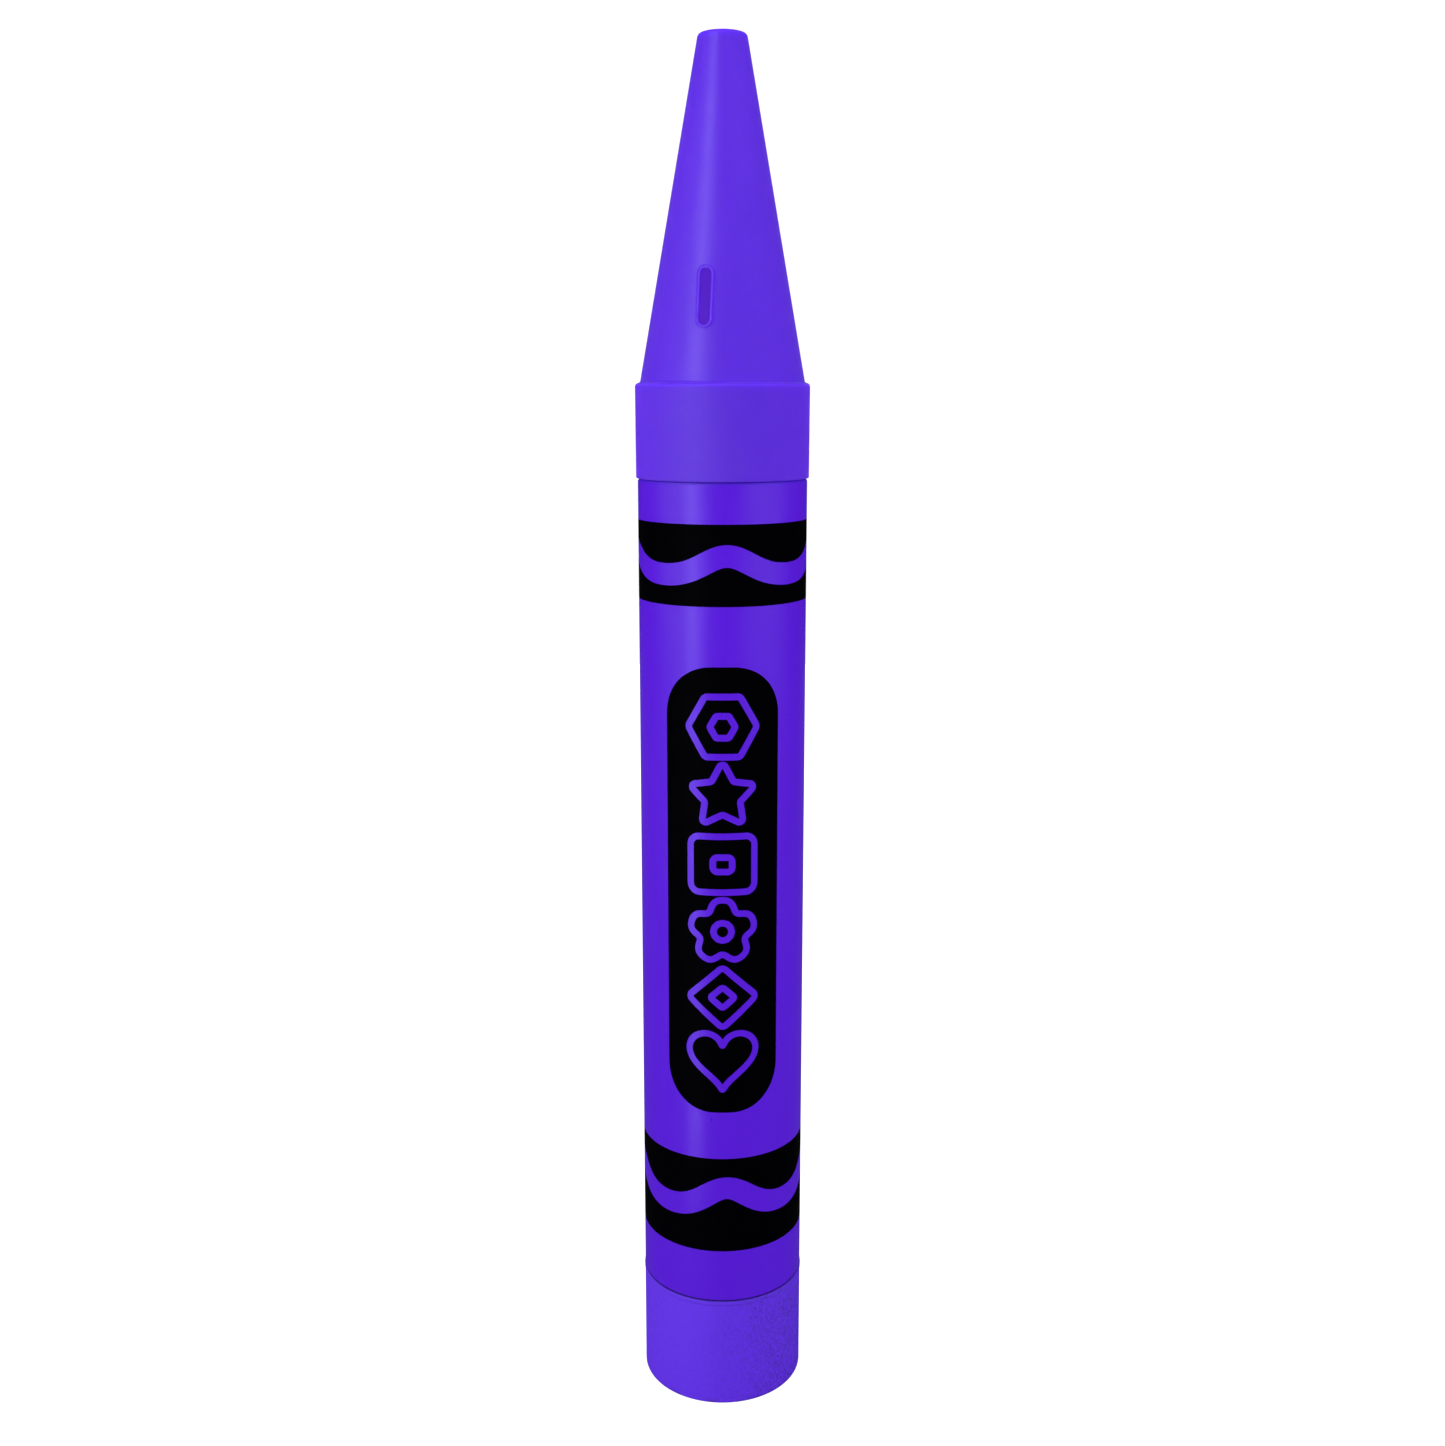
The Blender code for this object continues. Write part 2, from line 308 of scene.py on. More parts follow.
class Slot:
    """The coin slot's outline, in metres round and up the cone from its middle."""

    def __init__(self, shell, sizes, radius_at, middle):
        self.shell = shell
        self.reach = (sizes.slot_length - sizes.slot_width) / 2
        self.half_width = sizes.slot_width / 2
        self.radius_at = radius_at
        self.middle = middle
        self.step = 2 * PATCH_REACH / PATCH_ROWS

    def border(self, rows):
        """The patch's border, anticlockwise from its lower left, as (point, across, up)."""
        wide, tall = PATCH_COLUMNS, PATCH_ROWS
        cells = [(c, 0) for c in range(-wide, wide)]
        cells += [(wide, r) for r in range(tall)]
        cells += [(c, tall) for c in range(wide, -wide, -1)]
        cells += [(-wide, r) for r in range(tall, 0, -1)]
        found = []
        for column, row in cells:
            up = -PATCH_REACH + row * self.step
            across = self.radius_at(self.middle + up) * 2 * math.pi * column / COLUMNS
            found.append((rows[row][column % COLUMNS], across, up))
        return found

    def spokes(self, border):
        """For each border point, the point of the slot's centre line it looks at, and the direction."""
        ends = {1: [], -1: []}
        spokes = [None] * len(border)
        for index, (_, across, up) in enumerate(border):
            if abs(up) <= self.reach and abs(across) > self.half_width:
                spokes[index] = ((0.0, up), (math.copysign(1.0, across), 0.0))
            else:
                ends[1 if up > 0 else -1].append(index)
        for side, members in ends.items():
            start = 0.0 if side > 0 else math.pi
            ordered = self.in_order(border, members, side)
            for place, index in enumerate(ordered):
                turn = start + math.pi * (place + 1) / (len(ordered) + 1)
                spokes[index] = ((0.0, side * self.reach), (math.cos(turn), math.sin(turn)))
        return spokes

    def in_order(self, border, members, side):
        """Members in anticlockwise order round the slot's end."""
        centre = side * self.reach
        base = 0.0 if side > 0 else math.pi

        def turn(index):
            _, across, up = border[index]
            return (math.atan2(up - centre, across) - base) % (2 * math.pi)

        return sorted(members, key=turn)

    def place(self, across, up, out, slope):
        """A point that far round and up from the slot's middle, and that far out of the cone."""
        z = self.middle + up
        radius = self.radius_at(z)
        angle = SLOT_ANGLE + across / radius
        radius += out * math.cos(slope)
        return self.shell.add(radius * math.cos(angle), radius * math.sin(angle), z + out * math.sin(slope))

    def loop(self, spokes, distance, out, slope):
        return [self.place(c[0] + n[0] * distance, c[1] + n[1] * distance, out, slope) for c, n in spokes]

    def blend(self, border, spokes, distance, share, slope):
        """A loop between the outline at `distance` and the border."""
        points = []
        for (_, across, up), (c, n) in zip(border, spokes):
            x, y = c[0] + n[0] * distance, c[1] + n[1] * distance
            points.append(self.place(x + (across - x) * share, y + (up - y) * share, 0.0, slope))
        return points


def cap_mesh(sizes):
    """The whole cap as one closed shell, with the coin slot worked into its grid."""
    shell = Shell()
    shoulder = HEIGHT - sizes.cone_height
    cone_foot = sizes.skirt_radius - sizes.shoulder_width
    fall = (cone_foot - sizes.tip_radius) / sizes.cone_height
    slope = math.atan(fall)
    middle = shoulder + sizes.slot_rise

    def outside(z):
        return sizes.tip_radius + (HEIGHT - z) * fall

    def inside(z):
        return outside(z) - sizes.wall

    ledge = shoulder - sizes.shoulder_wall
    roof = HEIGHT - sizes.tip_wall
    levels = [middle + PATCH_REACH - i * 2 * PATCH_REACH / PATCH_ROWS for i in range(PATCH_ROWS + 1)]
    outer = rounded([(0.0, HEIGHT, 0), (sizes.tip_radius * 0.6, HEIGHT, 0),
                     (sizes.tip_radius, HEIGHT, TIP_ROUND), (outside(levels[0]), levels[0], 0)])
    below = rounded([(outside(levels[-1]), levels[-1], 0), (cone_foot, shoulder, CONE_FILLET),
                     (sizes.skirt_radius, shoulder, SHOULDER_ROUND),
                     (sizes.skirt_radius - SKIRT_DRAFT, CAP_LOW.z, SKIRT_ROUND),
                     (sizes.skirt_bore, CAP_LOW.z, SKIRT_ROUND),
                     (sizes.skirt_bore, ledge, 0.5 * MM),
                     (inside(ledge), ledge, 0.8 * MM),
                     (inside(levels[-1]), levels[-1], 0)])
    above = rounded([(inside(levels[0]), levels[0], 0), (inside(roof), roof, 2.4 * MM), (0.0, roof, 0)])

    skip_points = {c % COLUMNS for c in range(-PATCH_COLUMNS + 1, PATCH_COLUMNS)}
    skip_faces = {c % COLUMNS for c in range(-PATCH_COLUMNS, PATCH_COLUMNS)}

    def grid(radius_at, heights):
        rows = []
        for number, z in enumerate(heights):
            edge = number in (0, len(heights) - 1)
            rows.append(shell.ring(radius_at(z), z, () if edge else skip_points))
        for upper, lower in zip(rows, rows[1:]):
            shell.bridge(upper, lower, skip_faces)
        return rows

    top_rows = [shell.ring(r, z) for r, z in outer[:-1]]
    outer_rows = grid(outside, levels)
    low_rows = [shell.ring(r, z) for r, z in below[1:-1]]
    inner_rows = grid(inside, levels[::-1])
    roof_rows = [shell.ring(r, z) for r, z in above[1:]]
    for run in (top_rows + [outer_rows[0]], [outer_rows[-1]] + low_rows + [inner_rows[0]],
                [inner_rows[-1]] + roof_rows):
        for upper, lower in zip(run, run[1:]):
            shell.bridge(upper, lower)

    half = sizes.slot_width / 2
    lip = sizes.lip_width
    rolled = [(half + lip + 1.2 * MM, 0.0), (half + lip + 0.6 * MM, 0.03 * MM),
              (half + lip + 0.2 * MM, 0.16 * MM)]
    for step in range(LIP_STEPS + 1):
        turn = math.pi * (0.12 + 0.88 * step / LIP_STEPS)
        rolled.append((half + lip / 2 * (1 + math.cos(turn)), sizes.lip_height * math.sin(turn)))
    rolled.append((half, -0.5 * MM))
    out = Slot(shell, sizes, outside, middle)
    outer_border = out.border(outer_rows[::-1])
    spokes = out.spokes(outer_border)
    loops = [[point for point, _, _ in outer_border]]
    loops += [out.blend(outer_border, spokes, rolled[0][0], share, slope) for share in reversed(BLENDS)]
    loops += [out.loop(spokes, distance, rise, slope) for distance, rise in rolled]
    back = Slot(shell, sizes, inside, middle)
    inner_border = back.border(inner_rows)
    inner_spokes = back.spokes(inner_border)
    flared = [(half, 0.4 * MM), (half + 0.4 * MM, 0.0), (half + 1.2 * MM, 0.0)]
    loops += [back.loop(inner_spokes, distance, rise, slope) for distance, rise in flared]
    loops += [back.blend(inner_border, inner_spokes, flared[-1][0], share, slope) for share in BLENDS]
    loops.append([point for point, _, _ in inner_border])
    for a, b in zip(loops, loops[1:]):
        shell.strip(a, b)
    mesh = shell.mesh("cap_shell")
    smooth(mesh, 50.0)
    return mesh


# Geometry Nodes

class Tree:
    """A Geometry Nodes tree with named inputs, and short ways to add its nodes."""

    def __init__(self, name, inputs):
        self.group = bpy.data.node_groups.new(name, "GeometryNodeTree")
        face = self.group.interface
        face.new_socket("Geometry", in_out="INPUT", socket_type="NodeSocketGeometry")
        for kind, labels in inputs.items():
            for label in labels:
                face.new_socket(label, in_out="INPUT", socket_type="NodeSocket" + kind)
        face.new_socket("Geometry", in_out="OUTPUT", socket_type="NodeSocketGeometry")
        self.source = self.group.nodes.new("NodeGroupInput")
        self.sink = self.group.nodes.new("NodeGroupOutput")

    def value(self, name):
        return self.source.outputs[name]

    def node(self, kind, settings=None, **inputs):
        made = self.group.nodes.new(kind)
        for key, value in (settings or {}).items():
            setattr(made, key, value)
        for key, value in inputs.items():
            self.feed(made.inputs[key.replace("_", " ")], value)
        return made

    def feed(self, socket, value):
        if isinstance(value, bpy.types.NodeSocket):
            self.group.links.new(value, socket)
        else:
            socket.default_value = value

    def math(self, operation, *values):
        made = self.group.nodes.new("ShaderNodeMath")
        made.operation = operation
        for socket, value in zip(made.inputs, values):
            self.feed(socket, value)
        return made.outputs[0]

    def end(self, geometry, material):
        """Realises instances, sets the material and closes the tree."""
        real = self.node("GeometryNodeRealizeInstances", Geometry=geometry)
        paint = self.node("GeometryNodeSetMaterial", Geometry=real.outputs[0], Material=material)
        self.group.links.new(paint.outputs[0], self.sink.inputs[0])


def grown(name, tree, values):
    """The plain mesh that a tree makes with those inputs, as an object."""
    seed = new_object(name + "_seed", bpy.data.meshes.new(name + "_seed"))
    modifier = seed.modifiers.new("Shape", "NODES")
    modifier.node_group = tree.group
    for socket in tree.group.interface.items_tree:
        if socket.in_out == "INPUT" and socket.name in values:
            modifier[socket.identifier] = values[socket.name]
    graph = bpy.context.evaluated_depsgraph_get()
    mesh = bpy.data.meshes.new_from_object(seed.evaluated_get(graph))
    bpy.data.objects.remove(seed)
    mesh.name = name
    face_outwards(mesh)
    return new_object(name, mesh)


def band_tree():
    """One side of a printed band: ink between a straight edge and one edge of the wavy stripe."""
    tree = Tree("Printed band", {
        "Float": ("Radius", "Ink", "Straight edge", "Wave middle", "Wave height", "Stripe", "Side", "Pinch",
                  "Start", "Crest", "Lap", "Lap rise"),
        "Int": ("Waves", "Columns", "Rows"), "Material": ("Material",)})
    m = tree.math
    radius, side = tree.value("Radius"), tree.value("Side")
    grid = tree.node("GeometryNodeMeshGrid", Size_X=1.0, Size_Y=1.0, Vertices_X=tree.value("Columns"),
                     Vertices_Y=tree.value("Rows"))
    place = tree.node("ShaderNodeSeparateXYZ", Vector=tree.node("GeometryNodeInputPosition").outputs[0])
    share = m("ADD", place.outputs["X"], 0.5)
    to_straight = m("ADD", place.outputs["Y"], 0.5)
    around = m("MULTIPLY", radius, 2 * math.pi)
    along = m("MULTIPLY", share, around)
    start = m("ADD", tree.value("Start"), m("MULTIPLY", share, 2 * math.pi))
    even = m("MULTIPLY", tree.value("Waves"), m("SUBTRACT", start, tree.value("Crest")))
    phase = m("MULTIPLY_ADD", m("SINE", even), tree.value("Pinch"), even)
    quicker = m("MULTIPLY_ADD", m("COSINE", even), tree.value("Pinch"), 1.0)
    wave = m("MULTIPLY_ADD", m("COSINE", phase), tree.value("Wave height"), tree.value("Wave middle"))
    steep = m("DIVIDE", m("MULTIPLY", tree.value("Wave height"), tree.value("Waves")), radius)
    slope = m("MULTIPLY", m("MULTIPLY", m("SINE", phase), m("MULTIPLY", steep, quicker)), -1.0)
    stretch = m("SQRT", m("ADD", m("MULTIPLY", slope, slope), 1.0))
    offset = m("DIVIDE", m("MULTIPLY", m("MULTIPLY", tree.value("Stripe"), 0.5), side), stretch)
    edge_along = m("SUBTRACT", along, m("MULTIPLY", offset, slope))
    edge_up = m("ADD", wave, offset)
    # The first and last columns stay on the film's own edge
    ends = m("MINIMUM", m("MULTIPLY", share, 200.0), m("MULTIPLY", m("SUBTRACT", 1.0, share), 200.0))
    inward = m("MINIMUM", ends, 1.0)
    to_wave = m("SUBTRACT", 1.0, to_straight)
    shift = m("MULTIPLY", m("MULTIPLY", m("SUBTRACT", edge_along, along), to_wave), inward)
    arc = m("ADD", along, shift)
    turn = m("ADD", tree.value("Start"), m("DIVIDE", arc, radius))
    up = m("ADD", m("MULTIPLY", edge_up, to_wave), m("MULTIPLY", tree.value("Straight edge"), to_straight))
    lap_share = m("DIVIDE", tree.value("Lap"), around)
    climb = tree.node("ShaderNodeMapRange", {"interpolation_type": "SMOOTHSTEP"},
                      Value=m("DIVIDE", arc, around),
                      From_Min=m("SUBTRACT", 1.0, m("MULTIPLY", lap_share, 1 + CLIMB)),
                      From_Max=m("SUBTRACT", 1.0, lap_share), To_Min=0.0, To_Max=tree.value("Lap rise"))
    base = m("ADD", radius, climb.outputs["Result"])
    spot = tree.node("ShaderNodeCombineXYZ", X=m("MULTIPLY", base, m("COSINE", turn)),
                     Y=m("MULTIPLY", base, m("SINE", turn)), Z=up)
    laid = tree.node("GeometryNodeSetPosition", Geometry=grid.outputs["Mesh"], Position=spot.outputs[0])
    out = tree.node("ShaderNodeVectorMath", {"operation": "MULTIPLY"})
    tree.feed(out.inputs[0], tree.node("GeometryNodeInputPosition").outputs[0])
    out.inputs[1].default_value = (1.0, 1.0, 0.0)
    unit = tree.node("ShaderNodeVectorMath", {"operation": "NORMALIZE"})
    tree.feed(unit.inputs[0], out.outputs[0])
    thick = tree.node("GeometryNodeExtrudeMesh", {"mode": "FACES"}, Mesh=laid.outputs[0],
                      Offset=unit.outputs[0], Offset_Scale=tree.value("Ink"), Individual=False)
    under = tree.node("GeometryNodeFlipFaces", Mesh=laid.outputs[0])
    both = tree.node("GeometryNodeJoinGeometry")
    tree.group.links.new(thick.outputs["Mesh"], both.inputs[0])
    tree.group.links.new(under.outputs[0], both.inputs[0])
    closed = tree.node("GeometryNodeMergeByDistance", Geometry=both.outputs[0], Distance=1e-6)
    tree.end(closed.outputs[0], tree.value("Material"))
    return tree


def rib_tree():
    """Straight bars standing in a ring, from a hub outwards or along the wall of a bore."""
    tree = Tree("Ring of ribs", {
        "Float": ("Ring radius", "Length", "Width", "Height", "Middle", "Turn"),
        "Int": ("Count",), "Material": ("Material",)})
    size = tree.node("ShaderNodeCombineXYZ", X=tree.value("Length"), Y=tree.value("Width"),
                     Z=tree.value("Height"))
    bar = tree.node("GeometryNodeMeshCube", Size=size.outputs[0])
    around = tree.node("GeometryNodeMeshCircle", Vertices=tree.value("Count"),
                       Radius=tree.value("Ring radius"))
    step = tree.math("DIVIDE", 2 * math.pi, tree.value("Count"))
    index = tree.node("GeometryNodeInputIndex").outputs[0]
    turn = tree.node("ShaderNodeCombineXYZ", Z=tree.math("MULTIPLY", index, step))
    placed = tree.node("GeometryNodeInstanceOnPoints", Points=around.outputs[0], Instance=bar.outputs[0],
                       Rotation=turn.outputs[0])
    lift = tree.node("ShaderNodeCombineXYZ", Z=tree.value("Middle"))
    spin = tree.node("ShaderNodeCombineXYZ", Z=tree.value("Turn"))
    moved = tree.node("GeometryNodeTransform", Geometry=placed.outputs[0], Translation=lift.outputs[0],
                      Rotation=spin.outputs[0])
    tree.end(moved.outputs[0], tree.value("Material"))
    return tree


# Printed pieces

FILM_OUT = LABEL_RADIUS - 0.10 * MM   # outside of the film
LAP_GAP = 0.02 * MM                   # air under the film's lap
INK_SINK = 0.01 * MM                  # how far a printed layer reaches into what it is printed on
BACK = SLOT_ANGLE + FACING + math.pi  # the film's free edge, behind
CLIMB = 0.25                          # share of the lap in which the film climbs over its own end
FILM_COLUMNS = 480
BAND_COLUMNS = 720
BAND_ROWS = 5
PANEL_COLUMNS = 48
PANEL_CORNER_STEPS = 24
OUTLINE_STEP = 0.4 * MM               # between the points of a shape's outline
CURVE_POINTS = 240                    # points of a curve before it is evenly divided
RELAX_TIMES = 40
LINE_COLUMNS = 6                      # across the line round a shape


def slab(name, rows, inner, outer, ring):
    """A thin closed sheet wrapped on the tube. Rows are lists of (angle, height, rise) points."""
    shell = Shell()
    sides = []
    for radius in (outer, inner):
        layer = []
        for row in rows:
            layer.append([shell.add((radius + rise) * math.cos(a), (radius + rise) * math.sin(a), z)
                          for a, z, rise in row])
        sides.append(layer)
    top, bottom = sides
    count, wide = len(rows), len(rows[0])
    for i in range(count if ring else count - 1):
        j = (i + 1) % count
        for k in range(wide - 1):
            shell.faces.append((top[i][k], top[i][k + 1], top[j][k + 1], top[j][k]))
            shell.faces.append((bottom[i][k], bottom[j][k], bottom[j][k + 1], bottom[i][k + 1]))
        for k in (0, wide - 1):
            shell.faces.append((top[i][k], top[j][k], bottom[j][k], bottom[i][k]))
    if not ring:
        for i in (0, count - 1):
            for k in range(wide - 1):
                shell.faces.append((top[i][k], bottom[i][k], bottom[i][k + 1], top[i][k + 1]))
    mesh = shell.mesh(name)
    face_outwards(mesh)
    smooth(mesh)
    return new_object(name, mesh)


def film_rows(sizes):
    """The film, from the end under its lap once round and over itself."""
    lap = sizes.lap / FILM_OUT
    low, high = LABEL_LOW.z + sizes.reveal, LABEL_HIGH.z - sizes.reveal
    rise = sizes.film + LAP_GAP
    rows = []
    for step in range(FILM_COLUMNS + 1):
        turn = -lap + (2 * math.pi + lap) * step / FILM_COLUMNS
        climb = (turn - (2 * math.pi - (1 + CLIMB) * lap)) / (CLIMB * lap)
        climb = min(max(climb, 0.0), 1.0)
        up = rise * climb * climb * (3 - 2 * climb)
        heights = (low, low + SUPPORT, high - SUPPORT, high)
        rows.append([(BACK + turn, z, up) for z in heights])
    return rows


def panel_rows(sizes):
    """A rounded rectangle wrapped on the label's front."""
    half, corner = sizes.panel_width / 2, sizes.panel_corner
    ends = []
    for step in range(PANEL_CORNER_STEPS + 1):
        turn = math.pi / 2 * step / PANEL_CORNER_STEPS
        ends.append((corner * (1 - math.cos(turn)), half - corner + corner * math.sin(turn)))
    levels = [(sizes.panel_low + d, w) for d, w in ends] + [(sizes.panel_high - d, w) for d, w in ends[::-1]]
    rows = []
    for z, w in levels:
        arcs = [-w + 2 * w * k / PANEL_COLUMNS for k in range(PANEL_COLUMNS + 1)]
        rows.append([(SLOT_ANGLE + FACING + arc / FILM_OUT, z, 0.0) for arc in arcs])
    return rows


def polygon(count, radius, inner=None, turn=0.0):
    """Corners of a regular polygon, or of a star when an inner radius is given."""
    corners = []
    total = count * (2 if inner else 1)
    for k in range(total):
        a = turn + math.pi / 2 + 2 * math.pi * k / total
        r = inner if inner and k % 2 else radius
        corners.append((r * math.cos(a), r * math.sin(a)))
    return corners


def petals(count, radius, depth):
    """A flower's outline, with broad petals."""
    points = []
    for k in range(CURVE_POINTS):
        a = 2 * math.pi * k / CURVE_POINTS
        valley = (1 - math.cos(count * (a - math.pi / 2))) / 2
        r = radius * (1 - depth * valley ** 2)
        points.append(Vector((r * math.cos(a), r * math.sin(a))))
    return points


def heart(radius):
    """A heart's outline: the usual sum of cosines, 16 to each side."""
    points = []
    for k in range(CURVE_POINTS):
        a = 2 * math.pi * k / CURVE_POINTS
        x = 16 * math.sin(a) ** 3
        y = 13 * math.cos(a) - 5 * math.cos(2 * a) - 2 * math.cos(3 * a) - math.cos(4 * a)
        points.append(Vector((-x, y + 2.5)) * radius / 16)
    return points


def relaxed(points):
    """Evenly spaced points of an outline, with its sharp notches and points drawn out smooth."""
    points = evenly(points)
    for _ in range(RELAX_TIMES):
        points = [(points[k - 1] + points[k] * 2 + points[(k + 1) % len(points)]) / 4
                  for k in range(len(points))]
    return [(p.x, p.y) for p in points]


def softened(corners, rounding):
    """A closed outline with rounded corners, as evenly spaced points."""
    points = []
    count = len(corners)
    for k in range(count):
        before, at, after = (Vector(corners[(k + d) % count]) for d in (-1, 0, 1))
        u, v = (before - at).normalized(), (after - at).normalized()
        half = u.angle(v) / 2
        radius = min(rounding, 0.45 * min((before - at).length, (after - at).length) * math.tan(half))
        reach = radius / math.tan(half)
        centre = at + (u + v).normalized() * radius / math.sin(half)
        start = at + u * reach - centre
        sweep = start.angle_signed(at + v * reach - centre)
        steps = max(4, int(abs(sweep) * radius / OUTLINE_STEP))
        for i in range(steps + 1):
            a = -sweep * i / steps
            cos, sin = math.cos(a), math.sin(a)
            points.append(centre + Vector((start.x * cos - start.y * sin, start.x * sin + start.y * cos)))
    return [(p.x, p.y) for p in evenly(points)]


def evenly(points):
    """Points at even steps along a closed outline."""
    found = []
    carry = 0.0
    for k, point in enumerate(points):
        point, after = Vector(point), Vector(points[(k + 1) % len(points)])
        run = (after - point).length
        while carry < run:
            found.append(point.lerp(after, carry / run))
            carry += OUTLINE_STEP
        carry -= run
    return found


def line_rows(outline, width, middle):
    """A line of even width along an outline, wrapped on the label's front round the height `middle`."""
    count = len(outline)
    rows = []
    for k, point in enumerate(outline):
        ahead = Vector(outline[(k + 2) % count]) - Vector(outline[k - 2])
        normal = Vector((ahead.y, -ahead.x)).normalized()
        row = []
        for j in range(LINE_COLUMNS + 1):
            spot = Vector(point) + normal * width * (j / LINE_COLUMNS - 0.5)
            row.append((SLOT_ANGLE + FACING + spot.x / FILM_OUT, middle + spot.y, 0.0))
        rows.append(row)
    return rows


def motif_outlines(size):
    """Plain shapes about `size` wide, as (name, place down the panel, outline). Some have an eye."""
    r = size / 2
    box = [(-0.88 * r, -0.78 * r), (0.88 * r, -0.78 * r), (0.88 * r, 0.78 * r), (-0.88 * r, 0.78 * r)]
    eye = [(math.copysign(0.26 * r, x), math.copysign(0.20 * r, y)) for x, y in box]
    diamond = [(0, 0.88 * r), (-0.96 * r, 0), (0, -0.88 * r), (0.96 * r, 0)]
    diamond_eye = [(0, 0.30 * r), (-0.34 * r, 0), (0, -0.30 * r), (0.34 * r, 0)]
    return [
        ("hexagon", 0, softened(polygon(6, 0.94 * r, turn=math.pi / 6), 3.0 * MM)),
        ("hexagon_eye", 0, softened(polygon(6, 0.34 * r, turn=math.pi / 6), 1.6 * MM)),
        ("star", 1, softened(polygon(5, 0.97 * r, 0.50 * r), 2.2 * MM)),
        ("box", 2, softened(box, 6.0 * MM)),
        ("box_eye", 2, softened(eye, 3.0 * MM)),
        ("flower", 3, relaxed(petals(5, 0.90 * r, 0.30))),
        ("flower_eye", 3, softened(polygon(12, 0.25 * r), 1.6 * MM)),
        ("diamond", 4, softened(diamond, 3.0 * MM)),
        ("diamond_eye", 4, softened(diamond_eye, 1.6 * MM)),
        ("heart", 5, relaxed(heart(0.94 * r))),
    ]


# Materials

LOOK = "look_"


class Paint:
    """A material made of shader nodes on Object coordinates, which are in metres."""

    def __init__(self, name):
        self.material = bpy.data.materials.new(LOOK + name)
        self.material.use_nodes = True
        self.tree = self.material.node_tree
        self.shader = self.tree.nodes["Principled BSDF"]
        self.place = self.tree.nodes.new("ShaderNodeTexCoord").outputs["Object"]

    def noise(self, scale, detail=3.0, stretch=(1.0, 1.0, 1.0), rough=0.5):
        mapping = self.tree.nodes.new("ShaderNodeMapping")
        mapping.inputs["Scale"].default_value = stretch
        self.tree.links.new(self.place, mapping.inputs["Vector"])
        made = self.tree.nodes.new("ShaderNodeTexNoise")
        made.inputs["Scale"].default_value = scale
        made.inputs["Detail"].default_value = detail
        made.inputs["Roughness"].default_value = rough
        self.tree.links.new(mapping.outputs[0], made.inputs["Vector"])
        return made.outputs["Fac"]

    def spread(self, value, low, high, start=0.3, end=0.7):
        made = self.tree.nodes.new("ShaderNodeMapRange")
        for name, number in (("From Min", start), ("From Max", end), ("To Min", low), ("To Max", high)):
            made.inputs[name].default_value = number
        self.tree.links.new(value, made.inputs["Value"])
        return made.outputs["Result"]

    def math(self, operation, first, second):
        made = self.tree.nodes.new("ShaderNodeMath")
        made.operation = operation
        for socket, value in zip(made.inputs, (first, second)):
            if isinstance(value, bpy.types.NodeSocket):
                self.tree.links.new(value, socket)
            else:
                socket.default_value = value
        return made.outputs[0]

    def height(self):
        split = self.tree.nodes.new("ShaderNodeSeparateXYZ")
        self.tree.links.new(self.place, split.inputs[0])
        return split.outputs["Z"]

    def along(self, turn):
        """How far to the right of the axis, seen by someone who stands that far round from the slot."""
        split = self.tree.nodes.new("ShaderNodeSeparateXYZ")
        self.tree.links.new(self.place, split.inputs[0])
        return self.math("ADD", self.math("MULTIPLY", split.outputs["X"], math.cos(turn)),
                         self.math("MULTIPLY", split.outputs["Y"], math.sin(turn)))

    def mix(self, factor, first, second):
        """The first colour where the factor is 0 and the second where it is 1. Either may be a socket."""
        made = self.tree.nodes.new("ShaderNodeMix")
        made.data_type = "RGBA"
        self.tree.links.new(factor, made.inputs["Factor"])
        for socket, value in ((made.inputs[6], first), (made.inputs[7], second)):
            if isinstance(value, bpy.types.NodeSocket):
                self.tree.links.new(value, socket)
            else:
                socket.default_value = (*value, 1.0)
        return made.outputs[2]

    def bump(self, value, distance, strength, under=None):
        made = self.tree.nodes.new("ShaderNodeBump")
        made.inputs["Distance"].default_value = distance
        made.inputs["Strength"].default_value = strength
        self.tree.links.new(value, made.inputs["Height"])
        if under:
            self.tree.links.new(under, made.inputs["Normal"])
        return made.outputs["Normal"]

    def finish(self, colour, roughness, normal, level):
        self.tree.links.new(colour, self.shader.inputs["Base Color"])
        self.tree.links.new(roughness, self.shader.inputs["Roughness"])
        if normal:
            self.tree.links.new(normal, self.shader.inputs["Normal"])
        self.shader.inputs["Specular IOR Level"].default_value = level
        return self.material


def scaled(rgb, share):
    return tuple(min(c * share, 1.0) for c in rgb)


def cap_plastic(rgb):
    """Smooth moulded plastic: faint flow marks, orange peel and a few rubbed patches."""
    paint = Paint("cap_plastic")
    flow = paint.spread(paint.noise(16.0, 3.0, (1.0, 1.0, 0.35)), 0.0, 1.0)
    base = paint.mix(flow, scaled(rgb, 0.95), scaled(rgb, 1.05))
    rubbed = paint.spread(paint.noise(55.0, 6.0, rough=0.65), 0.34, 0.46)
    skirt = paint.spread(paint.height(), 0.22, 0.0, SKIRT_TOP - 2.0 * MM, SKIRT_TOP)
    rubbed = paint.math("ADD", rubbed, skirt)
    peel = paint.bump(paint.noise(420.0, 2.0), 0.00006, 0.35)
    waves = paint.bump(paint.noise(38.0, 1.0), 0.0003, 0.25, peel)
    material = paint.finish(base, rubbed, waves, 0.50)
    paint.shader.inputs["Subsurface Weight"].default_value = 0.7
    paint.shader.inputs["Subsurface Radius"].default_value = (0.5, 0.4, 1.0)
    paint.shader.inputs["Subsurface Scale"].default_value = 0.018
    return material


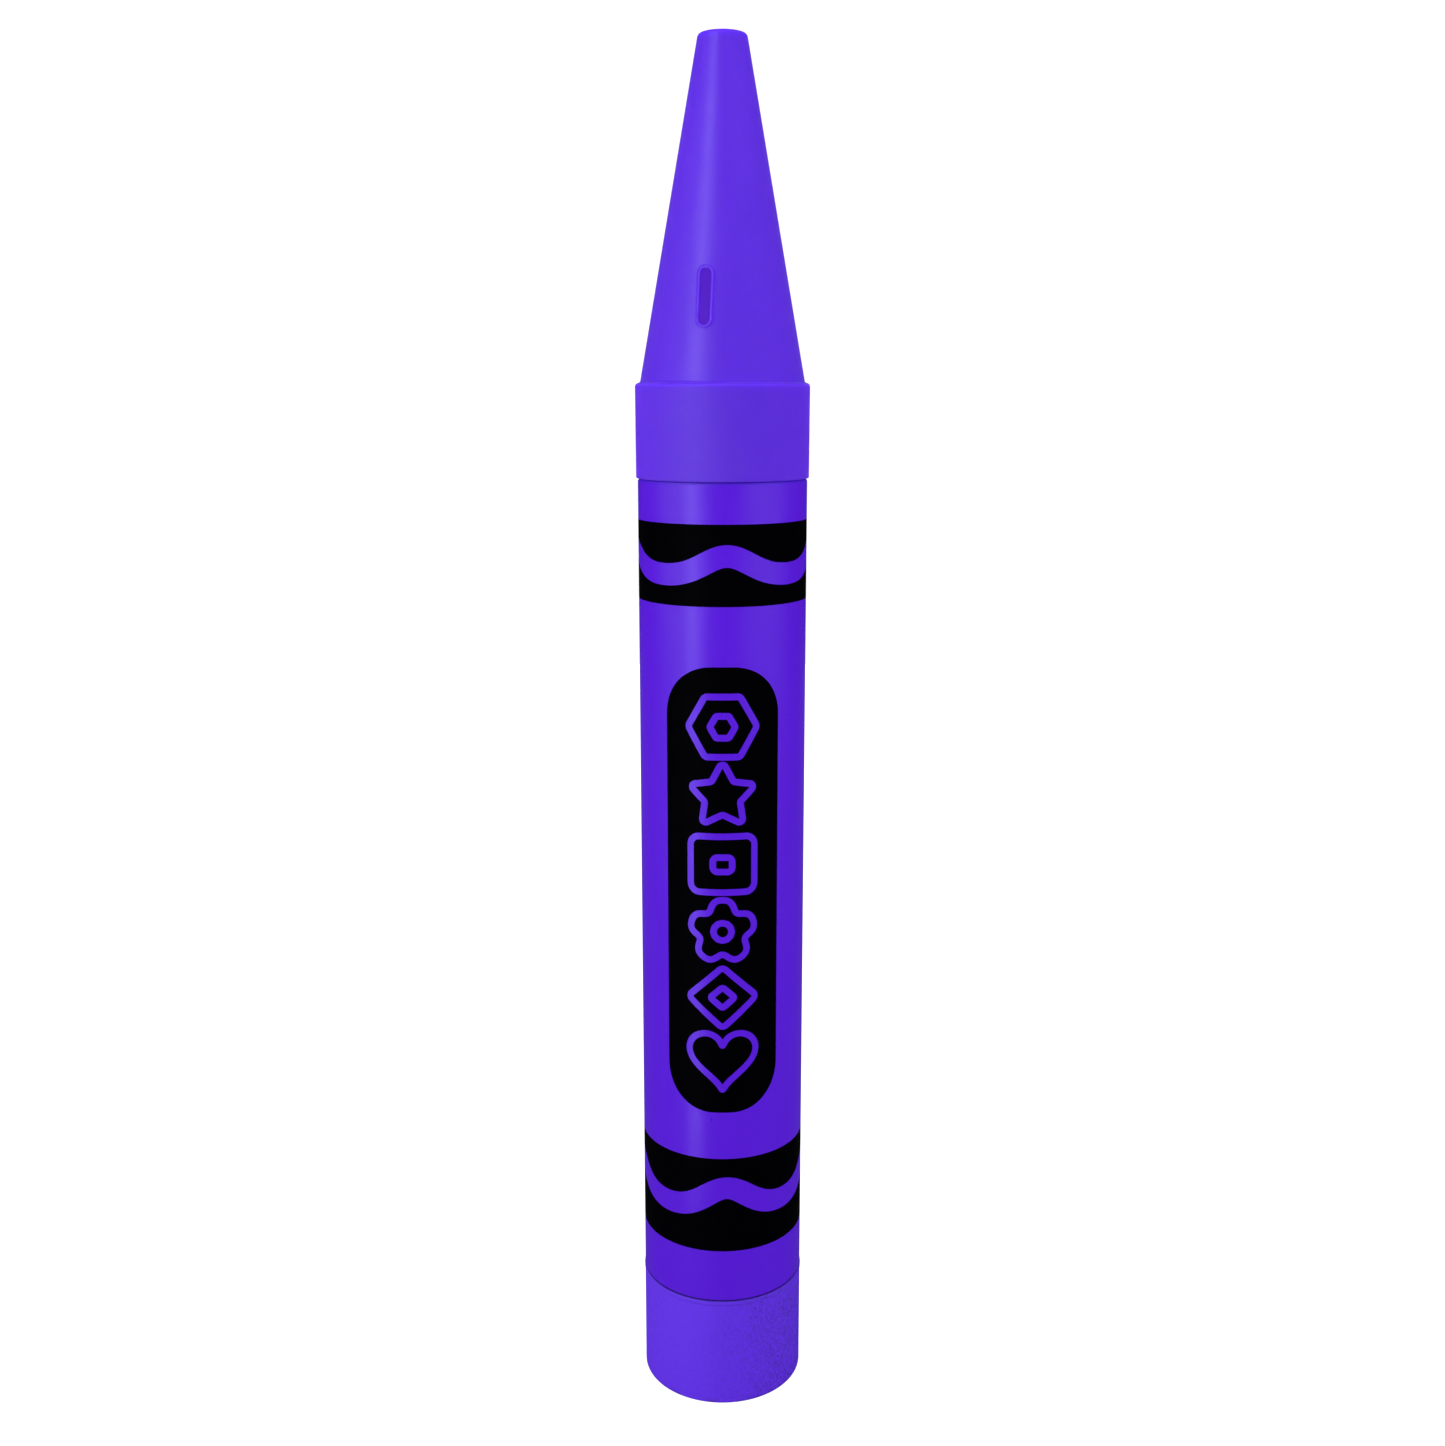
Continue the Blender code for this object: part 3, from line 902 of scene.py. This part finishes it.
def tube_plastic(rgb):
    """Extruded plastic with fine lines along the tube, and painted shade on its lower end where it shows in
    the seam above the foot.
    """
    paint = Paint("tube_plastic")
    lines = paint.noise(700.0, 2.0, (1.0, 1.0, 0.01))
    base = paint.mix(paint.spread(lines, 0.0, 1.0), scaled(rgb, 0.94), scaled(rgb, 1.04))
    # Painted shade: the bare tube in the groove between the film and the foot is darkened to stand in for the
    # shadow in that gap.
    seam = paint.spread(paint.height(), 0.9, 0.0, SEAM + 1.5 * MM, SEAM + 3.5 * MM)
    base = paint.mix(seam, base, scaled(rgb, 0.20))
    rough = paint.spread(paint.noise(40.0, 4.0), 0.40, 0.52)
    return paint.finish(base, rough, paint.bump(lines, 0.00004, 0.4), 0.35)


def label_film(rgb):
    """Printed film: smooth, with slight slackness and fine handling marks in the gloss."""
    paint = Paint("label_film")
    base = paint.mix(paint.spread(paint.noise(9.0, 2.0), 0.0, 1.0), scaled(rgb, 0.985), scaled(rgb, 1.015))
    marks = paint.spread(paint.noise(90.0, 8.0, (1.0, 1.0, 0.4), 0.7), 0.27, 0.36)
    slack = paint.bump(paint.noise(22.0, 1.0, (1.0, 1.0, 0.5)), 0.00025, 0.18)
    return paint.finish(base, marks, slack, 0.33)


def label_ink(rgb):
    """Solid printed ink, duller than the film."""
    paint = Paint("label_ink")
    base = paint.mix(paint.spread(paint.noise(300.0, 4.0), 0.0, 1.0), scaled(rgb, 0.7), scaled(rgb, 1.4))
    rough = paint.spread(paint.noise(120.0, 6.0), 0.42, 0.54)
    return paint.finish(base, rough, paint.bump(paint.noise(900.0, 2.0), 0.00002, 0.2), 0.01)


def foot_plastic(rgb):
    """Plastic with an eroded grain, painted lighter on its lit left side and with a shallower bump there,
    with painted shade in its seam and darker patches along its lower edge.
    """
    paint = Paint("foot_plastic")
    grain = paint.noise(620.0, 3.0, rough=0.60)
    pits = paint.spread(grain, 1.0, 0.0, 0.40, 0.56)
    # Painted light: the pits are painted lighter towards the left, where the key light falls, and darker on
    # the right; the same mask also makes the grain's bump shallower on the left.
    wear_and_lit_side = paint.spread(paint.along(FACING + math.radians(12.0)), 0.12, 1.0, -0.022, 0.030)
    patchy = paint.spread(paint.noise(60.0, 3.0), 0.55, 1.0, 0.35, 0.65)
    depth = paint.math("MULTIPLY", wear_and_lit_side, patchy)
    base = paint.mix(paint.math("MULTIPLY", pits, depth), scaled(rgb, 1.03), scaled(rgb, 0.56))
    # The lowest 4 mm of the foot are darker in patches.
    near_floor = paint.spread(paint.height(), 1.0, 0.0, 0.0, 0.004)
    low_patches = paint.spread(paint.noise(140.0, 5.0), 0.0, 1.0, 0.45, 0.70)
    darker_low_edge = paint.math("MULTIPLY", near_floor, paint.math("MULTIPLY", low_patches, 0.9))
    base = paint.mix(darker_low_edge, base, scaled(rgb, 0.30))
    # Painted shade: the foot's top at the seam, and its spigot above, is darkened to stand in for the shadow
    # in the gap under the film.
    seam = paint.spread(paint.height(), 0.0, 0.6, SEAM - 0.8 * MM, SEAM - 0.2 * MM)
    base = paint.mix(seam, base, scaled(rgb, 0.30))
    rough = paint.spread(paint.noise(330.0, 3.0), 0.50, 0.66)
    ripple = paint.bump(paint.noise(150.0, 2.0), 0.0006, 0.15)
    normal = paint.bump(paint.math("MULTIPLY", grain, depth), 0.0006, 0.7, ripple)
    return paint.finish(base, rough, normal, 0.40)


def floor_white():
    """Plain pale floor: white like the surroundings to the camera, and dim where the pieces mirror it."""
    paint = Paint("floor_white")
    base = paint.mix(paint.noise(3.0, 2.0), (0.20, 0.20, 0.20), (0.22, 0.22, 0.22))
    rough = paint.spread(paint.noise(8.0, 2.0), 0.80, 0.90)
    path = paint.tree.nodes.new("ShaderNodeLightPath")
    base = paint.mix(path.outputs["Is Glossy Ray"], base, (0.05, 0.05, 0.05))
    paint.tree.links.new(path.outputs["Is Camera Ray"], paint.shader.inputs["Emission Strength"])
    paint.shader.inputs["Emission Color"].default_value = (1.0, 1.0, 1.0, 1.0)
    return paint.finish(base, rough, None, 0.1)


# Pieces

def painted(item, material, body):
    """Gives a piece its material and the body it moves with."""
    item.data.materials.clear()
    item.data.materials.append(material)
    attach(item, body)
    return item


def material(name, maker, rgb):
    """The look of that slot, made once. The frame has plain materials with the slots' own names."""
    return bpy.data.materials.get(LOOK + name) or maker(tuple(rgb))


class BANK_OT_stage(bpy.types.Operator):
    """Make the floor, the soft lights, the surroundings and the camera"""
    bl_idname = "bank.make_stage"
    bl_label = "Stage"

    def execute(self, context):
        sizes = context.scene.bank_stage
        half = sizes.floor_size / 2
        mesh = bpy.data.meshes.new("floor")
        mesh.from_pydata([(-half, -half, 0), (half, -half, 0), (half, half, 0), (-half, half, 0)], [],
                         [(0, 1, 2, 3)])
        floor = new_object("floor", mesh)
        mesh.materials.append(floor_white())
        soft_lights()
        surroundings()
        camera(sizes)
        return {"FINISHED"}


def area_light(name, azimuth, distance, height, size, power, look_height):
    """A rectangular soft light, placed by its azimuth from the camera's, that looks at the axis."""
    data = bpy.data.lights.new(name, "AREA")
    data.shape = "RECTANGLE"
    data.size, data.size_y = size
    data.energy = power
    light = new_object(name, data)
    a = FACING + math.radians(azimuth)
    light.location = (math.sin(a) * distance, -math.cos(a) * distance, height)
    aim = Vector((0.0, 0.0, look_height)) - light.location
    light.rotation_euler = aim.to_track_quat("-Z", "Y").to_euler()
    light.visible_camera = False
    return light


def soft_lights():
    """Broad lights that shade without being mirrored, and a narrow one that is only mirrored."""
    standing = (("key_left", -60.0, 109.0), ("fill_right", 60.0, 96.0), ("fill_back", 180.0, 105.0))
    broad = [area_light(name, azimuth, 2.6, 1.2, (3.2, 3.2), power, 0.45)
             for name, azimuth, power in standing]
    broad.append(area_light("overhead", 0.0, 0.4, 3.2, (3.4, 3.4), 36.0, 0.0))
    for light in broad:
        light.visible_glossy = False
    strip = area_light("strip_left", -37.0, 0.35, 0.62, (0.10, 1.22), 1.15, 0.62)
    strip.visible_diffuse = False


SEEN_BY_CAMERA = 1.1         # brightness of the surroundings to the camera,
SHED = 0.25                  # as the light that falls on the pieces,
MIRRORED = 0.10              # and where a glossy piece mirrors them


def surroundings():
    """White to the camera, a dim grey for the light they shed, and darker still where they are mirrored."""
    world = bpy.data.worlds.new("surroundings")
    bpy.context.scene.world = world
    world.use_nodes = True
    tree = world.node_tree
    back = tree.nodes["Background"]
    back.inputs["Color"].default_value = (1.0, 1.0, 1.0, 1.0)
    path = tree.nodes.new("ShaderNodeLightPath")
    shed = tree.nodes.new("ShaderNodeMapRange")
    shed.inputs["To Min"].default_value = SHED
    shed.inputs["To Max"].default_value = MIRRORED
    tree.links.new(path.outputs["Is Glossy Ray"], shed.inputs["Value"])
    level = tree.nodes.new("ShaderNodeMapRange")
    level.inputs["To Max"].default_value = SEEN_BY_CAMERA
    tree.links.new(path.outputs["Is Camera Ray"], level.inputs["Value"])
    tree.links.new(shed.outputs["Result"], level.inputs["To Min"])
    tree.links.new(level.outputs["Result"], back.inputs["Strength"])


def camera(sizes):
    data = bpy.data.cameras.new("camera")
    data.lens = sizes.lens
    data.sensor_fit = "VERTICAL"
    data.sensor_height = 36.0
    data.shift_y = sizes.camera_shift
    item = new_object("camera", data)
    item.location = (math.sin(FACING) * sizes.camera_distance, -math.cos(FACING) * sizes.camera_distance,
                     sizes.camera_height)
    item.rotation_euler = (math.pi / 2 - sizes.camera_tilt, 0.0, FACING)
    scene = bpy.context.scene
    scene.camera = item
    scene.view_settings.view_transform = "Standard"


class BANK_OT_cap(bpy.types.Operator):
    """Make the cone cap with its coin slot, and the crush ribs inside its skirt"""
    bl_idname = "bank.make_cap"
    bl_label = "Cap"

    def execute(self, context):
        sizes = context.scene.bank_cap
        plastic = material("cap_plastic", cap_plastic, sizes.plastic)
        cap = painted(new_object("cap_shell", cap_mesh(sizes)), plastic, "cap")
        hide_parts("tip_cap")
        count, depth, proud = 12, 0.8 * MM, 0.25 * MM
        ribs = grown("cap_crush_ribs", rib_tree(), {
            "Count": count, "Ring radius": sizes.skirt_bore - proud + depth / 2, "Length": depth,
            "Width": 1.2 * MM, "Height": 34.0 * MM, "Middle": CAP_LOW.z + 31.0 * MM,
            "Turn": math.pi / count, "Material": plastic})
        painted(ribs, plastic, "cap")
        return {"FINISHED"}


class BANK_OT_tube(bpy.types.Operator):
    """Make the body tube"""
    bl_idname = "bank.make_tube"
    bl_label = "Tube"

    def execute(self, context):
        sizes = context.scene.bank_tube
        bore = TUBE_RADIUS - sizes.wall
        neck = TUBE_RADIUS - sizes.neck_step
        step = CAP_LOW.z - 0.4 * MM
        edge = 0.3 * MM
        profile = [(neck, TUBE_HIGH.z, sizes.rim_round), (neck, step, edge),
                   (TUBE_RADIUS, step - sizes.neck_step, edge), (TUBE_RADIUS, TUBE_LOW.z, edge),
                   (bore, TUBE_LOW.z, edge), (bore, TUBE_HIGH.z, sizes.rim_round)]
        tube = turned("tube_shell", profile)
        painted(tube, material("tube_plastic", tube_plastic, sizes.plastic), "bank")
        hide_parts("body_tube")
        return {"FINISHED"}


class BANK_OT_film(bpy.types.Operator):
    """Wrap the printed film round the tube, with its lap at the back"""
    bl_idname = "bank.wrap_film"
    bl_label = "Film"

    def execute(self, context):
        sizes = context.scene.bank_label
        film = slab("label_wrap", film_rows(sizes), FILM_OUT - sizes.film, FILM_OUT, False)
        painted(film, material("label_film", label_film, sizes.film_colour), "bank")
        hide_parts("wrap_label")
        return {"FINISHED"}


class BANK_OT_bands(bpy.types.Operator):
    """Print the two black bands, each with a wavy stripe left open"""
    bl_idname = "bank.print_bands"
    bl_label = "Bands"

    def execute(self, context):
        sizes = context.scene.bank_label
        ink = material("label_ink", label_ink, sizes.black)
        tree = band_tree()
        for name in ("upper", "lower"):
            low, high, wave, swing, stripe = (getattr(sizes, f"{name}_{size}")
                                              for size in ("low", "high", "wave", "swing", "stripe"))
            for part, edge, side in (("over", high, 1.0), ("under", low, -1.0)):
                band = grown(f"ink_{name}_{part}", tree, {
                    "Radius": FILM_OUT - INK_SINK, "Ink": sizes.ink + INK_SINK, "Straight edge": edge,
                    "Wave middle": wave, "Wave height": swing, "Stripe": stripe, "Side": side,
                    "Waves": sizes.wave_count, "Pinch": sizes.wave_pinch, "Start": BACK,
                    "Crest": SLOT_ANGLE + FACING + sizes.wave_turn,
                    "Lap": sizes.lap, "Lap rise": sizes.film + LAP_GAP,
                    "Columns": BAND_COLUMNS, "Rows": BAND_ROWS, "Material": ink})
                smooth(band.data)
                painted(band, ink, "bank")
        return {"FINISHED"}


class BANK_OT_panel(bpy.types.Operator):
    """Print the black rounded panel on the front"""
    bl_idname = "bank.print_panel"
    bl_label = "Panel"

    def execute(self, context):
        sizes = context.scene.bank_label
        panel = slab("ink_panel", panel_rows(sizes), FILM_OUT - INK_SINK, FILM_OUT + sizes.ink, False)
        painted(panel, material("label_ink", label_ink, sizes.black), "bank")
        return {"FINISHED"}


class BANK_OT_motifs(bpy.types.Operator):
    """Print the row of plain outlined shapes on the panel"""
    bl_idname = "bank.print_motifs"
    bl_label = "Shapes"

    def execute(self, context):
        sizes = context.scene.bank_label
        film = material("label_film", label_film, sizes.film_colour)
        outlines = motif_outlines(sizes.motif_size)
        pitch = (sizes.motif_high - sizes.motif_low) / max(place + 1 for _, place, _ in outlines)
        layer = FILM_OUT + sizes.ink
        for name, place, outline in outlines:
            middle = sizes.motif_high - pitch * (place + 0.5)
            rows = line_rows(outline, sizes.motif_line, middle)
            motif = slab(f"motif_{name}", rows, layer - INK_SINK, layer + sizes.ink, True)
            painted(motif, film, "bank")
        return {"FINISHED"}


class BANK_OT_foot(bpy.types.Operator):
    """Make the foot with its spigot, and the ribs under its floor"""
    bl_idname = "bank.make_foot"
    bl_label = "Foot"

    def execute(self, context):
        sizes = context.scene.bank_foot
        plastic = material("foot_plastic", foot_plastic, sizes.plastic)
        foot = turned("foot_shell", foot_profile(sizes, context.scene.bank_tube))
        painted(foot, plastic, "bank")
        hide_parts("foot_cap")
        rooted = 0.6 * MM    # how far the ribs reach into what they meet
        inner = sizes.hub_radius - rooted
        outer = LABEL_RADIUS - sizes.ring_width + rooted
        top = sizes.floor_rise + rooted
        bottom = sizes.floor_rise - sizes.rib_depth + 0.2 * MM
        ribs = grown("foot_ribs", rib_tree(), {
            "Count": sizes.rib_count, "Ring radius": (inner + outer) / 2, "Length": outer - inner,
            "Width": sizes.rib_width, "Height": top - bottom, "Middle": (top + bottom) / 2,
            "Turn": math.pi / sizes.rib_count, "Material": plastic})
        painted(ribs, plastic, "bank")
        return {"FINISHED"}


def foot_profile(sizes, tube):
    """The foot's outline, as (radius, height, rounding): spigot, bead, outer wall, standing ring, floor
    and hub, then the inside."""
    spigot = TUBE_RADIUS - tube.wall - sizes.spigot_gap
    rim = LABEL_RADIUS + sizes.rim_proud
    top = FOOT_HIGH.z
    ring_inside = LABEL_RADIUS - sizes.ring_width
    hub = sizes.floor_rise - sizes.rib_depth
    floor = sizes.floor_rise + sizes.floor_wall
    inside = LABEL_RADIUS - sizes.wall
    return [
        (spigot, top, 0.8 * MM), (spigot, sizes.height, 0.3 * MM),
        (rim, sizes.height, 0.7 * MM), (rim, sizes.height - sizes.rim_height, 0.5 * MM),
        (LABEL_RADIUS, sizes.height - sizes.rim_height - 0.8 * MM, 0.5 * MM),
        (LABEL_RADIUS, 0.0, 1.2 * MM), (ring_inside, 0.0, 1.2 * MM),
        (ring_inside, sizes.floor_rise, 0.8 * MM), (sizes.hub_radius, sizes.floor_rise, 0.5 * MM),
        (sizes.hub_radius, hub, 0.5 * MM), (2.2 * MM, hub, 0.2 * MM), (1.6 * MM, hub - 0.5 * MM, 0.2 * MM),
        (0.0, hub - 0.5 * MM, 0),
        (0.0, floor, 0), (inside, floor, 2.0 * MM), (inside, sizes.height - 4.2 * MM, 2.0 * MM),
        (spigot - sizes.spigot_wall, sizes.height, 2.0 * MM), (spigot - sizes.spigot_wall, top, 0.8 * MM),
    ]


class BANK_PT_panel(bpy.types.Panel):
    """Lists the sizes and the pieces of the coin bank"""
    bl_label = "Coin Bank"
    bl_idname = "BANK_PT_panel"
    bl_space_type = "VIEW_3D"
    bl_region_type = "UI"
    bl_category = "Coin Bank"

    def draw(self, context):
        for operator in OPERATORS:
            self.layout.operator(operator.bl_idname)
        for name, group in GROUPS:
            box = self.layout.box()
            box.label(text=group.__doc__)
            for key in group.__annotations__:
                box.prop(getattr(context.scene, name), key)


GROUPS = (("bank_stage", StageSizes), ("bank_cap", CapSizes), ("bank_tube", TubeSizes),
          ("bank_label", LabelSizes), ("bank_foot", FootSizes))
OPERATORS = (BANK_OT_stage, BANK_OT_tube, BANK_OT_film, BANK_OT_bands, BANK_OT_panel, BANK_OT_motifs,
             BANK_OT_foot, BANK_OT_cap)


def register():
    for name, group in GROUPS:
        bpy.utils.register_class(group)
        setattr(bpy.types.Scene, name, bpy.props.PointerProperty(type=group))
    for operator in OPERATORS:
        bpy.utils.register_class(operator)
    bpy.utils.register_class(BANK_PT_panel)


def unregister():
    bpy.utils.unregister_class(BANK_PT_panel)
    for operator in reversed(OPERATORS):
        bpy.utils.unregister_class(operator)
    for name, group in reversed(GROUPS):
        delattr(bpy.types.Scene, name)
        bpy.utils.unregister_class(group)


def main():
    register()
    bpy.ops.bank.make_stage()
    bpy.ops.bank.make_tube()
    bpy.ops.bank.wrap_film()
    bpy.ops.bank.print_bands()
    bpy.ops.bank.print_panel()
    bpy.ops.bank.print_motifs()
    bpy.ops.bank.make_foot()
    bpy.ops.bank.make_cap()


if __name__ == "__main__":
    main()
